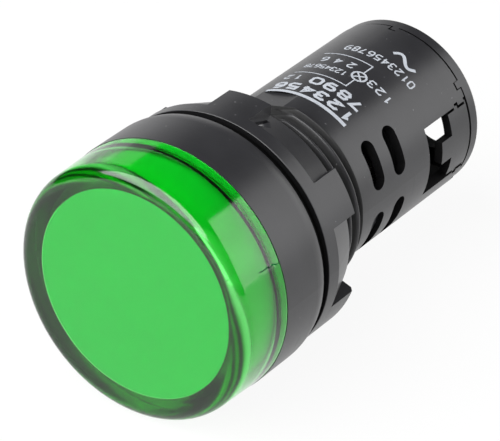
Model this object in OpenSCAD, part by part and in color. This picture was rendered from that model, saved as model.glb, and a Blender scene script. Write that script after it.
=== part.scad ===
// Panel pilot light for a 22 mm hole, in millimetres.
// The light's axis is Y: the lens faces -Y and the rear cover +Y. The origin is on the axis, at the
// bezel's rear face, which seats on the panel. Each round piece is drawn upright, its height being
// the distance behind that seat, and lengthwise() then lays it along Y.

/* [Bezel] */
// Outer radius of the bezel
bezel_r = 14.5; // [14.3:0.1:16]
// Depth of the bezel, from its front rim to the panel seat
bezel_depth = 6.92; // [6.4:0.01:9]
// Thickness of the bezel's rear wall, which the lamp board rests on
flange = 1.8; // [1.2:0.1:2.2]
// Radius of the soft turn at the bezel's rear edge
bezel_turn_r = 4; // [3:0.5:8]
// How far in front of the seat that turn begins
bezel_turn_depth = 1.6; // [0.8:0.1:2.4]
// Chamfer at the bezel's seat and at the nut's front edge
edge_chamfer = 0.15; // [0.1:0.05:0.3]

/* [Lens and diffuser] */
// Depth of the lens in front of the bezel
lens_depth = 7.18; // [5.5:0.01:10]
// Thickness of the lens's front wall
lens_front_wall = 1.75; // [1.2:0.05:2.4]
// Thickness of the lens's side wall where it is thinnest, near the bezel
lens_side_wall = 1.6; // [1.3:0.1:1.9]
// Length of that thin part, behind the cone that thickens the wall towards the front
lens_thin_length = 1; // [0.6:0.1:1.4]
// How far the lens's wall slopes inwards near the bezel, at 45 degrees
lens_step = 0.9; // [0.7:0.1:1.2]
// Radius of the lens's front corner
lens_corner_r = 1.6; // [0.6:0.1:1.7]
// How much smaller the lens's face is than its rear end, on the radius
lens_draft = 0.2; // [0:0.05:0.4]
// How far the lens lies below the bezel's surface
lens_inset = 0.05; // [0:0.05:0.2]
// Length of the lens's collar inside the bezel
collar_length = 2; // [1.6:0.1:2.2]
// Wall of that collar
collar_wall = 0.75; // [0.6:0.05:0.9]
// Radius of the snap bead round that collar
bead_r = 0.3; // [0.2:0.05:0.4]
// Thickness of the diffuser's face
diffuser_face = 1; // [0.6:0.1:1.6]
// Thickness of the diffuser's side wall
diffuser_wall = 0.9; // [0.6:0.1:1.2]

/* [Neck and body tube] */
// Radius of the neck over its thread crests
neck_r = 10.9; // [10.7:0.05:11]
// Length of the neck behind the seat
neck_length = 12.7; // [11.5:0.1:13]
// Chamfer at the neck's rear edge
neck_chamfer = 0.4; // [0.2:0.1:0.6]
// How far the thread crests stand out from the body tube
thread_step = 0.83; // [0.7:0.01:1]
// Wall of the body tube
tube_wall = 1.15; // [0.95:0.05:1.25]
// Length of the housing behind the seat
body_length = 34.5; // [34.2:0.1:42]
// Distance of the flat from the axis
flat_height = 9.8; // [9.5:0.05:10]
// Angle of the flat, from the top towards +X
flat_angle = -12; // [-25:1:25]
// Length of the flat on the tube, behind the neck
flat_past_neck = 3; // [1:0.1:4]

/* [Vents] */
// Rows of vent slots along the tube
vent_rows = 2; // [1:1:2]
// Distance from the neck's end to the first row
vent_first = 4; // [3.5:0.1:4.5]
// Distance between two rows
vent_pitch = 4; // [3:0.1:4.5]
// Width of a slot
vent_width = 2.1; // [1.4:0.1:2.4]
// Angle that a slot spans, its round ends included
vent_span = 32; // [20:1:38]
// Angle from the side to the middle of a slot
vent_offset = 24; // [21:1:28]

/* [Side windows] */
// Length of a window, from the tube's rear end
window_length = 8.2; // [7.6:0.1:8.8]
// Half of the angle that a window spans
window_half = 23.7; // [20:0.1:25]
// Length of the wider mouth at the tube's end
mouth_length = 0.3; // [0.25:0.05:0.4]
// Extra half angle of that mouth
mouth_step = 1.9; // [1.5:0.1:3.5]
// Length of the snap bump in front of the mouth
bump_length = 1.15; // [0.9:0.05:1.3]
// How far the bump narrows the window, in degrees
bump_step = 0.4; // [0.2:0.1:0.8]
// Length of the notch in front of the bump
notch_length = 0.65; // [0.5:0.05:0.8]
// How far the notch widens the window, in degrees
notch_step = 1.9; // [1:0.1:2.5]

/* [Rear cover] */
// Thickness of the cover's plate
cover_plate = 1.5; // [1:0.02:2]
// Gap between the tube's end and the cover's rim
seam_gap = 0.34; // [0.2:0.02:0.4]
// How far the cover lies below the tube's surface
cover_inset = 0.1; // [0:0.02:0.2]
// Radius of the two screwdriver holes
access_r = 3.4; // [3:0.1:3.6]
// Length of the cover's side skirts in front of the tube's end
skirt_length = 3.5; // [2.8:0.1:4]
// Gap between a skirt and its window's edge, in degrees
skirt_gap = 1.9; // [1:0.1:2.5]
// Length of the tongue in front of each skirt
tongue_length = 2; // [1:0.1:2.2]
// Half of the angle that the tongue spans
tongue_half = 7.7; // [5:0.1:10]
// Depth of the groove that carries the seam on over the skirts
seam_depth = 0.35; // [0.2:0.05:0.5]
// Length of the cover's collar inside the tube
cover_collar = 2.1; // [1.5:0.1:2.4]
// Half of the angle that a bridge over the seam spans
bridge_half = 2.3; // [1.5:0.1:3]
// Length of a bridge into the tube's end
bridge_length = 0.4; // [0.3:0.05:0.5]
// Angle between a bridge and its neighbour over the top and the bottom
bridge_angle = 56; // [50:1:58]

/* [Gasket and nut] */
// How far the gasket's lip lies below the nut's collar
gasket_inset = 0.17; // [0:0.01:0.4]
// Thickness of the gasket
gasket_thickness = 1.05; // [0.8:0.05:1.6]
// How far the gasket's front lip stands out from it
gasket_lip = 0.45; // [0.2:0.05:0.6]
// Thickness of that lip
gasket_lip_thickness = 0.36; // [0.2:0.02:0.5]
// How far the nut's collar stands out from the neck
nut_height = 3.17; // [2.9:0.01:3.6]
// Length of the nut
nut_length = 6; // [5:0.1:6.6]
// Length of the nut's collar in front of the blocks
nut_collar = 1.75; // [1:0.05:2.5]
// How far the nut tapers from its collar to its rear end, on the radius
nut_taper = 1.57; // [0.8:0.01:1.8]
// Number of wrench blocks on the nut
block_count = 6; // [4:1:8]
// Half of the angle that a block spans
block_half = 10.5; // [7:0.5:12]
// Chamfer at a block's outer rear edge
block_chamfer = 0.4; // [0.2:0.05:0.6]
// Angle of the first block, from the top towards +X
block_angle = 1; // [-30:1:30]
// Pitch of the neck's thread
neck_pitch = 1.5; // [1:0.25:2]

/* [Boards] */
// Thickness of both circuit boards
board_thickness = 1.6; // [1.2:0.1:1.8]
// Height of the driver board's lower face below the axis
board_drop = 4.2; // [3.9:0.05:4.4]
// How far the driver board's edges lie inside the tube's bore
board_inset = 1.32; // [1.2:0.02:1.6]
// Distance from the seat to the driver board's front edge
board_start = 1; // [0.5:0.1:1.5]
// Height of the rails above and below the driver board
rail_lip = 0.9; // [0.6:0.1:1]
// How far the rails reach over the driver board's edge
rail_reach = 1; // [0.6:0.1:1.1]
// How far the driver board plugs into the terminal block
board_plug = 1; // [0.5:0.1:1.5]
// Distance between the two pins that join the boards
pin_spacing = 1.6; // [1.4:0.1:1.8]
// Radius of those pins
pin_r = 0.35; // [0.25:0.05:0.4]
// Length of the pins behind the lamp board, along the driver board
pin_landing = 3; // [2:0.1:3.4]

/* [Lamps] */
// Number of lamps on the lamp board
led_count = 6; // [4:1:8]
// Radius of the ring that the lamps stand on
led_ring_r = 6.8; // [5:0.1:8]
// Radius of a lamp's dome
led_r = 1.5; // [1:0.1:1.8]
// Height of a lamp
led_height = 4.2; // [3.4:0.1:4.6]
// Height of a lamp's foot
led_foot = 0.8; // [0.5:0.1:1.2]
// How far a lamp's foot stands out from its dome
led_rim = 0.25; // [0.1:0.05:0.3]

/* [Components] */
// Gap between neighbouring components along the driver board
component_gap = 0.9; // [0.5:0.1:1.5]
// Width of the film capacitor
film_width = 6; // [4.5:0.1:6.4]
// Height of the film capacitor
film_height = 7.5; // [5:0.1:8.5]
// Radius of the filter capacitor
filter_r = 2.3; // [1.8:0.1:2.35]
// Height of the filter capacitor
filter_height = 6.5; // [4:0.1:7]
// Width of the bridge rectifier, across the tube
bridge_width = 4.4; // [3.5:0.1:4.6]
// Length of the bridge rectifier
rectifier_length = 5; // [4:0.1:5]
// Height of the bridge rectifier
rectifier_height = 2.8; // [2:0.1:4]
// Radius of the two resistors
resistor_r = 1.1; // [0.8:0.05:1.2]
// Length of a resistor's body, as a share of the film capacitor's
resistor_share = 0.56; // [0.4:0.02:0.6]
// Reach of a resistor's leads, as a share of the film capacitor's length
lead_share = 0.13; // [0.1:0.01:0.15]
// Radius of a resistor's leads
lead_r = 0.3; // [0.2:0.05:0.35]

/* [Terminals] */
// Distance of a terminal screw from the light's axis, as a share of the tube's bore radius
terminal_share = 0.538; // [0.53:0.001:0.545]
// Thickness of a terminal plate
plate_thickness = 1.1; // [0.8:0.1:1.2]
// Height of a terminal plate
plate_height = 7; // [6.4:0.1:7.2]
// How far a terminal plate's face lies in front of the window
plate_setback = 0.8; // [0.5:0.1:1.2]
// Width of the solder tail
tail_width = 2.4; // [1.6:0.1:2.6]
// Thickness of the solder tail
tail_thickness = 0.6; // [0.4:0.05:0.65]
// Length of the tail on the driver board
tail_landing = 4; // [2:0.1:4.2]
// Gap between a clamp washer and the barrier
washer_gap = 0.6; // [0.5:0.05:0.8]
// Thickness of a clamp washer
washer_thickness = 0.9; // [0.6:0.1:1]
// Radius of a screw's thread
screw_r = 1.5; // [1.25:0.05:1.5]
// Length of a screw under its head
screw_length = 7; // [5:0.1:7.4]
// Radius of a screw's head
screw_head_r = 2.6; // [2.3:0.1:2.8]
// Height of a screw's head
screw_head = 2; // [1.4:0.1:2.2]
// Pitch of a screw's thread
screw_pitch = 0.5; // [0.4:0.05:0.7]
// Thickness of the terminal block's floor
block_floor = 2.9; // [2.4:0.1:3.4]
// Thickness of the block's walls
block_wall = 1.1; // [0.8:0.1:1.3]
// Half of the thickness of the barrier between the terminals
barrier_half = 1.1; // [0.8:0.05:1.15]

/* [Hidden] */
// Clearance between pieces that sit in one another
fit = 0.1;
// Clearance of a piece that turns or slides on a round one
running = 0.07;
// Clearance between faces that move apart
face_gap = 0.02;
// How far a cut runs past the face it opens
past = 1;
$fn = 96;

black_plastic = [0.11, 0.11, 0.12];
black_rubber = [0.03, 0.03, 0.03];
board_green = [0.05, 0.3, 0.13];
brass = [0.78, 0.62, 0.28];
nickel = [0.72, 0.71, 0.68];

// The lens and the head of the housing
lens_seat = -bezel_depth;
lens_face = lens_seat - lens_depth;
lens_rear_r = bezel_r - lens_inset;
lens_face_r = lens_rear_r - lens_draft;
lens_bore_r = lens_face_r - lens_side_wall;
collar_bore_r = lens_bore_r - lens_step;
collar_r = collar_bore_r + collar_wall;
head_bore_r = collar_r + fit;
bead_z = lens_seat + collar_length - bead_r - 0.2;
bead_axis_r = collar_r - bead_r / 3;
lens_inner_face = lens_face + lens_front_wall;
seat_r = bezel_r - bezel_turn_r + sqrt(pow(bezel_turn_r, 2) - pow(bezel_turn_depth, 2))
    - edge_chamfer;

// The boards
led_board_rear = -flange;
led_board_front = led_board_rear - board_thickness;
board_top = board_thickness - board_drop;

// The body tube and its windows
tube_r = neck_r - thread_step;
bore_r = tube_r - tube_wall;
window_front = body_length - window_length;
mouth_z = body_length - mouth_length;
bump_z = mouth_z - bump_length;
notch_z = bump_z - notch_length;
sides = [90, -90];

// The terminals
plate_face = window_front - plate_setback;
plate_front = plate_face - plate_thickness;
block_front = plate_front - block_floor;
block_r = bore_r - fit;
pocket_half = plate_height / 2 + 4 * fit;
washer_z = plate_face + face_gap;
screw_seat = washer_z + washer_thickness + face_gap;
board_end = block_front + board_plug;
terminal_x = bore_r * terminal_share;
washer_side = 2 * (terminal_x - barrier_half - washer_gap);

// The components along the driver board, from its front end to the solder tails
board_width = 2 * (bore_r - board_inset);
front_row = board_start + component_gap;
film_start = front_row + max(rectifier_length, 2 * filter_r) + component_gap;
film_length = block_front - tail_landing - component_gap - film_start;
resistor_length = film_length * resistor_share;
lead_reach = film_length * lead_share;

// The rear cover
cover_z = body_length + seam_gap;
cover_end = cover_z + cover_plate;
cover_r = tube_r - cover_inset;
cover_collar_z = body_length - cover_collar;
skirt_bore_r = bore_r + fit / 2;

// The gasket and the nut
nut_r = neck_r + nut_height;
nut_rear_r = nut_r - nut_taper;
gasket_lip_r = nut_r - gasket_inset;
gasket_rear = face_gap + gasket_thickness;
nut_front = gasket_rear + face_gap;
nut_rear = nut_front + nut_length;
blocks_z = nut_front + nut_collar;

// Lays an upright piece along the light's axis, so that its height runs to the rear
module lengthwise() rotate([-90, 0, 0]) children();

// Turns what lies on +X of an upright piece to an angle from the top towards the light's +X
module at_angle(a) rotate([0, 0, a - 90]) children();

// Part of a tube, between two radii and two heights, spanning half degrees on both sides of mid
module arc_wall(inner, outer, low, high, mid, half)
    at_angle(mid - half)
        rotate_extrude(angle = 2 * half)
            translate([inner, low])
                square([outer - inner, high - low]);

// Everything within half degrees of an angle, between two heights: it cuts tubes to length
module wedge(low, high, mid, half)
    at_angle(mid)
        translate([0, 0, low])
            linear_extrude(high - low)
                polygon([
                    [0, 0],
                    [2 * tube_r, -2 * tube_r * tan(half)],
                    [2 * tube_r, 2 * tube_r * tan(half)]
                ]);

module disc(r, low, high)
    translate([0, 0, low])
        cylinder(r = r, h = high - low);

// What a convex corner of a revolved outline loses to a round of radius r; the corner is the
// origin, and the outline lies towards -X and, for dir = 1, towards -Y
module corner_loss(r, dir = 1)
    scale([1, dir])
        translate([-r, -r])
            difference() {
                square(r + past);
                circle(r);
            }

// A box by its limits in the light's own frame
module limits(x, y, z)
    translate([x[0], y[0], z[0]])
        cube([x[1] - x[0], y[1] - y[0], z[1] - z[0]]);

module lens_cap() color("limegreen", 0.6) lengthwise() rotate_extrude() {
    // Face, side wall with a light draft and a round front corner, and collar inside the bezel
    difference() {
        polygon([
            [0, lens_face],
            [lens_face_r, lens_face],
            [lens_rear_r, lens_seat],
            [collar_r, lens_seat],
            [collar_r, lens_seat + collar_length],
            [collar_bore_r, lens_seat + collar_length],
            [collar_bore_r, lens_seat],
            [lens_bore_r, lens_seat - lens_step],
            [lens_bore_r, lens_seat - lens_step - lens_thin_length],
            [collar_bore_r - fit / 2, lens_inner_face],
            [0, lens_inner_face]
        ]);
        translate([lens_face_r + lens_draft * lens_corner_r / lens_depth, lens_face])
            corner_loss(lens_corner_r, -1);
    }
    // Snap bead round the collar
    translate([bead_axis_r, bead_z])
        circle(bead_r, $fn = 32);
}

module diffuser() color("mediumseagreen") lengthwise() difference() {
    disc(collar_bore_r - fit, lens_inner_face + fit / 2, led_board_front);
    disc(collar_bore_r - fit - diffuser_wall, lens_inner_face + fit / 2 + diffuser_face, 0);
}

// Outline of the bezel, the neck and the tube, as a solid of revolution
module housing_outline() {
    difference() {
        translate([0, lens_seat])
            square([bezel_r, bezel_depth]);
        translate([bezel_r - bezel_turn_r, -bezel_turn_depth])
            difference() {
                square(bezel_turn_r + past);
                circle(bezel_turn_r);
            }
        polygon([
            [seat_r - past, past],
            [seat_r + past, -past],
            [seat_r + past, past]
        ]);
    }
    polygon([
        [0, -past],
        [neck_r, -past],
        [neck_r, neck_length - neck_chamfer],
        [neck_r - neck_chamfer, neck_length],
        [0, neck_length]
    ]);
    square([tube_r, body_length]);
}

// The stepped opening of one side window, given each step's start and half angle
module window_cut(mid) {
    steps = [
        [window_front, window_half],
        [notch_z, window_half + notch_step],
        [bump_z, window_half - bump_step],
        [mouth_z, window_half + mouth_step],
        [body_length + past, 0]
    ];
    for (i = [0:len(steps) - 2])
        wedge(steps[i][0], steps[i + 1][0], mid, steps[i][1]);
}

// One vent slot with round ends, cut straight in from the side
module vent_cut(mid, z) {
    straight = 2 * tube_r * sin(vent_span / 2) - vent_width;
    at_angle(mid)
        translate([bore_r - past, 0, z])
            rotate([0, 90, 0])
                linear_extrude(tube_wall + 2 * past) {
                    square([vent_width, straight], center = true);
                    for (end = [-1, 1])
                        translate([0, end * straight / 2])
                            circle(d = vent_width);
                }
}

// Angles of the bridges over the seam, from the top
bridges = [0, bridge_angle, 180 - bridge_angle, 180, 180 + bridge_angle, -bridge_angle];

module housing() color(black_plastic) difference() {
    union() {
        lengthwise() difference() {
            rotate_extrude() difference() {
                housing_outline();
                // Head, groove for the lens's bead, and bore
                translate([0, lens_seat - past])
                    square([head_bore_r, bezel_depth - flange + past]);
                translate([bead_axis_r, bead_z])
                    circle(bead_r + fit, $fn = 32);
                translate([0, -flange - past])
                    square([bore_r, flange + body_length + 2 * past]);
            }
            for (side = sides) window_cut(side);
            for (row = [0:vent_rows - 1], side = sides, offset = [-vent_offset, vent_offset])
                vent_cut(side + offset, neck_length + vent_first + row * vent_pitch);
            for (bridge = bridges)
                wedge(body_length - bridge_length - seam_gap, body_length + past, bridge,
                    bridge_half + 0.4);
            // Flat against turning, along the neck and the start of the tube
            at_angle(flat_angle)
                translate([flat_height, -neck_r, 0])
                    cube([neck_r, 2 * neck_r, neck_length + flat_past_neck]);
        }
        // Slotted rails for the driver board
        intersection() {
            lengthwise() disc(bore_r + tube_wall / 2, board_start, block_front - 4 * fit);
            for (side = [-1, 1])
                limits(
                    [side > 0 ? board_width / 2 - rail_reach : -tube_r,
                        side > 0 ? tube_r : rail_reach - board_width / 2],
                    [board_start, block_front],
                    [-board_drop - rail_lip, board_top + rail_lip]
                );
        }
    }
    limits(
        [-board_width / 2 - fit / 2, board_width / 2 + fit / 2],
        [board_start - past, block_front],
        [-board_drop - fit / 2, board_top + fit / 2]
    );
}

module panel_gasket() color(black_rubber) lengthwise() rotate_extrude() {
    inner = neck_r + 2 * running;
    translate([inner, face_gap])
        square([gasket_lip_r - gasket_lip - inner, gasket_thickness]);
    translate([inner, face_gap])
        square([gasket_lip_r - inner, gasket_lip_thickness]);
}

module mounting_nut() color(black_plastic) lengthwise() {
    inner = neck_r + running;
    mark_depth = 0.35;
    difference() {
        rotate_extrude() polygon([
            [inner, nut_front],
            [nut_r - edge_chamfer, nut_front],
            [nut_r, nut_front + edge_chamfer],
            [nut_r, blocks_z],
            [nut_rear_r, nut_rear],
            [inner, nut_rear]
        ]);
        // Short moulded mark beside the first block, sunk to one depth below the taper
        at_angle(block_angle + block_half + 3)
            rotate_extrude(angle = 2) polygon([
                [nut_r - mark_depth, blocks_z],
                [nut_r + past, blocks_z],
                [nut_r + past, nut_rear - nut_collar],
                [nut_rear_r - mark_depth + (nut_r - nut_rear_r) * nut_collar
                    / (nut_length - nut_collar), nut_rear - nut_collar]
            ]);
    }
    for (i = [0:block_count - 1])
        at_angle(block_angle + i * 360 / block_count - block_half)
            rotate_extrude(angle = 2 * block_half) polygon([
                [(inner + nut_rear_r) / 2, blocks_z],
                [nut_r, blocks_z],
                [nut_r, nut_rear - block_chamfer],
                [nut_r - block_chamfer, nut_rear],
                [(inner + nut_rear_r) / 2, nut_rear]
            ]);
}

module rear_cover() color(black_plastic) lengthwise() {
    skirt_half = window_half - skirt_gap;
    skirt_z = body_length - skirt_length;
    steps = [
        [skirt_z, skirt_half],
        [notch_z - fit, skirt_half + notch_step],
        [bump_z - 1.5 * fit, skirt_half - bump_step],
        [mouth_z + fit, skirt_half + mouth_step],
        [cover_z + past / 4, 0]
    ];
    difference() {
        rotate_extrude() difference() {
            translate([0, skirt_z - tongue_length])
                square([cover_r, cover_end - skirt_z + tongue_length]);
            translate([0, skirt_z - tongue_length - past])
                square([skirt_bore_r, cover_z - skirt_z + tongue_length + past]);
            translate([cover_r, cover_end])
                corner_loss(cover_plate / 4);
        }
        // Between the skirts and the bridges, the rim is cut back to the plate
        difference() {
            disc(tube_r + past, skirt_z - tongue_length - past, cover_z);
            for (side = sides) {
                wedge(skirt_z - tongue_length - 2 * past, cover_z + past, side, tongue_half);
                wedge(skirt_z, cover_z + past, side, skirt_half - bump_step);
                for (i = [0:len(steps) - 2])
                    wedge(steps[i][0], steps[i + 1][0], side, steps[i][1]);
            }
            for (bridge = bridges)
                wedge(body_length - bridge_length, cover_z + past, bridge, bridge_half);
        }
        // Groove that carries the seam on over the skirts
        difference() {
            for (side = sides) wedge(body_length, cover_z, side, window_half + 2 * mouth_step);
            disc(cover_r - seam_depth, body_length - past, cover_z + past);
        }
        for (side = sides) at_angle(side)
            translate([terminal_x, 0, cover_z - past])
                cylinder(r = access_r, h = cover_plate + 2 * past);
    }
    // Collar inside the tube, over the top and the bottom
    for (mid = [0, 180])
        arc_wall(block_r - block_wall, block_r, cover_collar_z, cover_z + cover_plate / 2,
            mid, 90 - window_half - mouth_step - 4);
}

module led_board() color(board_green) difference() {
    lengthwise() disc(head_bore_r - fit, led_board_front, led_board_rear);
    for (side = [-1, 1])
        translate([side * pin_spacing / 2, 0, board_top + pin_r])
            lengthwise() disc(pin_r + fit / 2, led_board_front - past, past);
}

module led(i) color("gainsboro") lengthwise()
    rotate([0, 0, i * 360 / led_count])
        translate([led_ring_r, 0, led_board_front])
            mirror([0, 0, 1]) {
                cylinder(r = led_r + led_rim, h = led_foot, $fn = 48);
                cylinder(r = led_r, h = led_height - led_r, $fn = 48);
                translate([0, 0, led_height - led_r])
                    sphere(led_r, $fn = 48);
            }

module link_pin(side) color(nickel)
    translate([side * pin_spacing / 2, 0, board_top + pin_r])
        lengthwise() disc(pin_r, led_board_front - 2 * pin_r, board_start + pin_landing);

module driver_board() color(board_green)
    limits(
        [-board_width / 2, board_width / 2],
        [board_start, board_end],
        [-board_drop, board_top]
    );

module film_capacitor() color("khaki")
    limits([-film_width / 2, film_width / 2], [film_start, film_start + film_length],
        [board_top, board_top + film_height]);

module filter_capacitor() color("midnightblue")
    translate([filter_r + board_width / 9, front_row + filter_r, board_top])
        difference() {
            cylinder(r = filter_r, h = filter_height);
            // Crimp round the can near its foot
            translate([0, 0, 1])
                rotate_extrude()
                    translate([filter_r + 0.1, 0])
                        circle(0.3, $fn = 24);
        }

module bridge_rectifier() color("dimgray")
    limits([-bridge_width - board_width / 9, -board_width / 9],
        [front_row, front_row + rectifier_length],
        [board_top, board_top + rectifier_height]);

// A resistor lying along the tube, with its leads bent down to the board
module resistor(side) {
    middle = film_start + film_length / 2;
    translate([side * board_width / 3, middle, board_top + resistor_r]) {
        lengthwise() {
            disc(resistor_r, -resistor_length / 2, resistor_length / 2);
            disc(lead_r, -resistor_length / 2 - lead_reach, resistor_length / 2 + lead_reach);
        }
        for (end = [-1, 1])
            translate([0, end * (resistor_length / 2 + lead_reach - lead_r), -resistor_r])
                cylinder(r = lead_r, h = resistor_r, $fn = 24);
    }
}

module dropper_resistor() color("lightsteelblue") resistor(-1);

module bleed_resistor() color("tan") resistor(1);

module terminal_block() color(black_plastic) difference() {
    intersection() {
        lengthwise() disc(block_r, block_front, cover_collar_z - fit / 2);
        union() {
            // Floor, barrier, and the shelves over and under the terminals
            limits([-tube_r, tube_r], [block_front, plate_front], [-tube_r, tube_r]);
            limits([-barrier_half, barrier_half], [block_front, body_length], [-tube_r, tube_r]);
            for (z = [-pocket_half - block_wall, pocket_half])
                limits([-tube_r, tube_r], [block_front, body_length], [z, z + block_wall]);
        }
    }
    for (side = [-1, 1]) {
        // Hole for the screw's tip, and slot for the solder tail
        translate([side * terminal_x, 0, 0])
            lengthwise() disc(screw_r + 2 * fit, block_front - past, plate_front + past);
        limits(
            [side * terminal_x - tail_width / 2 - fit / 2,
                side * terminal_x + tail_width / 2 + fit / 2],
            [block_front - past, plate_front + past],
            [board_top - fit / 2, board_top + tail_thickness + fit / 2]
        );
    }
    limits(
        [-board_width / 2 - fit / 2, board_width / 2 + fit / 2],
        [block_front - past, board_end],
        [-board_drop - fit / 2, board_top + fit / 2]
    );
}

module terminal_plate(side) color(brass) difference() {
    union() {
        intersection() {
            lengthwise() disc(block_r, plate_front, plate_face);
            limits(
                side > 0 ? [barrier_half + fit, tube_r] : [-tube_r, -barrier_half - fit],
                [plate_front, plate_face],
                [-plate_height / 2, plate_height / 2]
            );
        }
        limits(
            [side * terminal_x - tail_width / 2, side * terminal_x + tail_width / 2],
            [block_front - tail_landing, plate_front],
            [board_top, board_top + tail_thickness]
        );
    }
    translate([side * terminal_x, 0, 0])
        lengthwise() disc(screw_r + running, plate_front - past, plate_face + past);
}

module clamp_washer(side) color(nickel) difference() {
    limits(
        [side * terminal_x - washer_side / 2, side * terminal_x + washer_side / 2],
        [washer_z, washer_z + washer_thickness],
        [-washer_side / 2, washer_side / 2]
    );
    translate([side * terminal_x, 0, 0])
        lengthwise() disc(screw_r + running, washer_z - past, screw_seat + past);
}

module terminal_screw(side) color(nickel)
    translate([side * terminal_x, 0, 0]) difference() {
        lengthwise() rotate_extrude() {
            translate([0, screw_seat - screw_length])
                square([screw_r, screw_length]);
            difference() {
                translate([0, screw_seat])
                    square([screw_head_r, screw_head]);
                translate([screw_head_r, screw_seat + screw_head])
                    corner_loss(screw_head / 2);
            }
        }
        // Cross recess
        for (turn = [0, 90])
            rotate([0, turn, 0])
                limits([-screw_head_r * 0.62, screw_head_r * 0.62],
                    [screw_seat + screw_head * 0.45, screw_seat + screw_head + past],
                    [-0.35, 0.35]);
    }

lens_cap();
diffuser();
housing();
panel_gasket();
mounting_nut();
rear_cover();
led_board();
for (i = [1:led_count]) led(i);
link_pin(-1);  // link_pin_1
link_pin(1);  // link_pin_2
driver_board();
film_capacitor();
filter_capacitor();
bridge_rectifier();
dropper_resistor();
bleed_resistor();
terminal_block();
terminal_plate(-1);  // terminal_plate_1
terminal_plate(1);  // terminal_plate_2
clamp_washer(-1);  // clamp_washer_1
clamp_washer(1);  // clamp_washer_2
terminal_screw(-1);  // terminal_screw_1
terminal_screw(1);  // terminal_screw_2
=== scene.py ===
# %% [markdown]
# # A panel pilot light
#
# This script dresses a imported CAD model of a 22 mm pilot light: a clear green lens in a black
# bezel, a gasket and a nut on a threaded neck, and a vented tube with a rear cover. The CAD model
# gives every size and place. Here we add what it leaves out: the thread, the print on the tube,
# the moulded surfaces and the light in the lens.
#
# Lengths are in millimetres while we work something out, and `MM` turns them into Blender's metres.
# An **angle** round the light is measured from the top (+Z) towards +X, looking along +Y.

# %%
import math

import bmesh
import bpy
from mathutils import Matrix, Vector


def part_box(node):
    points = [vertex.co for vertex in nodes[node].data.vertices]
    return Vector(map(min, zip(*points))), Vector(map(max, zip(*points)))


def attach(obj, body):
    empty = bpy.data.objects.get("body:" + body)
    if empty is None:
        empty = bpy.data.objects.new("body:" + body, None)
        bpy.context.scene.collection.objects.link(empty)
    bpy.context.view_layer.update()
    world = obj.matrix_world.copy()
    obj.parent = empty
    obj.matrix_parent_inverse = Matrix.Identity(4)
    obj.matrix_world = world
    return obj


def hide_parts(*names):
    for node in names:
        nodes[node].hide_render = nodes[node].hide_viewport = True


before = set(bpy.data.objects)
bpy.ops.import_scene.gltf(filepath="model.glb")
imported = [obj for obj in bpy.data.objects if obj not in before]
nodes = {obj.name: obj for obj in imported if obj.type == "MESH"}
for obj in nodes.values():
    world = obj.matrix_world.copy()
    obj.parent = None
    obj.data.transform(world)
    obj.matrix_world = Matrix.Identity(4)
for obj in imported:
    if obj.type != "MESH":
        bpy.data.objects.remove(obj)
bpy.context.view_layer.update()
scene = bpy.context.scene
MM = 0.001
print(len(nodes), "CAD pieces are in the scene")

# %% [markdown]
# ## Sizes that the CAD model knows
#
# Sizes could be typed again here, but then two places would have to agree, so we read what we can
# from the pieces themselves.

# %%
def span(node):
    """The lowest and highest corners of a CAD node, in millimetres."""
    low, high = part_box(node)
    return low / MM, high / MM


LENS_FACE = span("lens_cap")[0].y
LENS_R = span("lens_cap")[1].x
BEZEL_FRONT = span("housing")[0].y
BEZEL_R = span("housing")[1].x
NUT_FRONT = span("mounting_nut")[0].y
# Sizes within the housing, which its box doesn't show
NECK_R, NECK_END, TUBE_R = 10.9, 12.7, 10.07
FLAT_HEIGHT, FLAT_ANGLE = 9.8, -12.0
print(f"lens face at {LENS_FACE:.2f} mm, bezel {2 * BEZEL_R:.2f} mm across")

# %% [markdown]
# Everything on this light is round, so a few small helpers save a lot of sines later on: one
# gives a point from its angle, one measures how far a point is from the axis, and one tells a
# face on the outside from a face on the inside. A **spin** turns a line of points into a round
# surface, as a lathe does, and two more helpers make a mesh of it and put it in the scene.

# %%
def at(angle, radius, y):
    """A point, in metres, from its angle in degrees, its radius and its distance along the axis."""
    a = math.radians(angle)
    return Vector((math.sin(a) * radius, y, math.cos(a) * radius)) * MM


def distance_from_axis(co):
    return math.hypot(co.x, co.z)


def outwardness(face):
    """1 where a face looks away from the light's axis, -1 where it looks at the axis."""
    return Vector((face.center.x, 0, face.center.z)).normalized().dot(face.normal)


SAME_POINT = 1e-7


def spun(points, steps):
    """A bmesh of a line of points that is spun all the way round the light's axis."""
    bm = bmesh.new()
    line = [bm.verts.new(point) for point in points]
    edges = [bm.edges.new(pair) for pair in zip(line, line[1:])]
    bmesh.ops.spin(bm, geom=line + edges, cent=(0, 0, 0), axis=(0, 1, 0), angle=math.tau,
                   steps=steps, use_merge=True)
    # A point on the axis was copied at every step
    bmesh.ops.remove_doubles(bm, verts=bm.verts, dist=SAME_POINT)
    return bm


def mesh_from(name, bm):
    mesh = bpy.data.meshes.new(name)
    bm.to_mesh(mesh)
    bm.free()
    return mesh


def show(name, mesh):
    """Puts a finished mesh in the scene, as an object at the origin."""
    piece = bpy.data.objects.new(name, mesh)
    scene.collection.objects.link(piece)
    print(f"{name}: {len(mesh.polygons)} faces")
    return piece


# %% [markdown]
# ## A small language for materials
#
# A Blender material is a graph of nodes. Written node by node it is hard to read, so `Value`
# wraps one output and lets us write ordinary sums: `slow * 0.08 + fine * 0.06` makes the Math
# nodes. `1.0 - mask` works too, because the class also has the operators' reflected forms.

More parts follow.
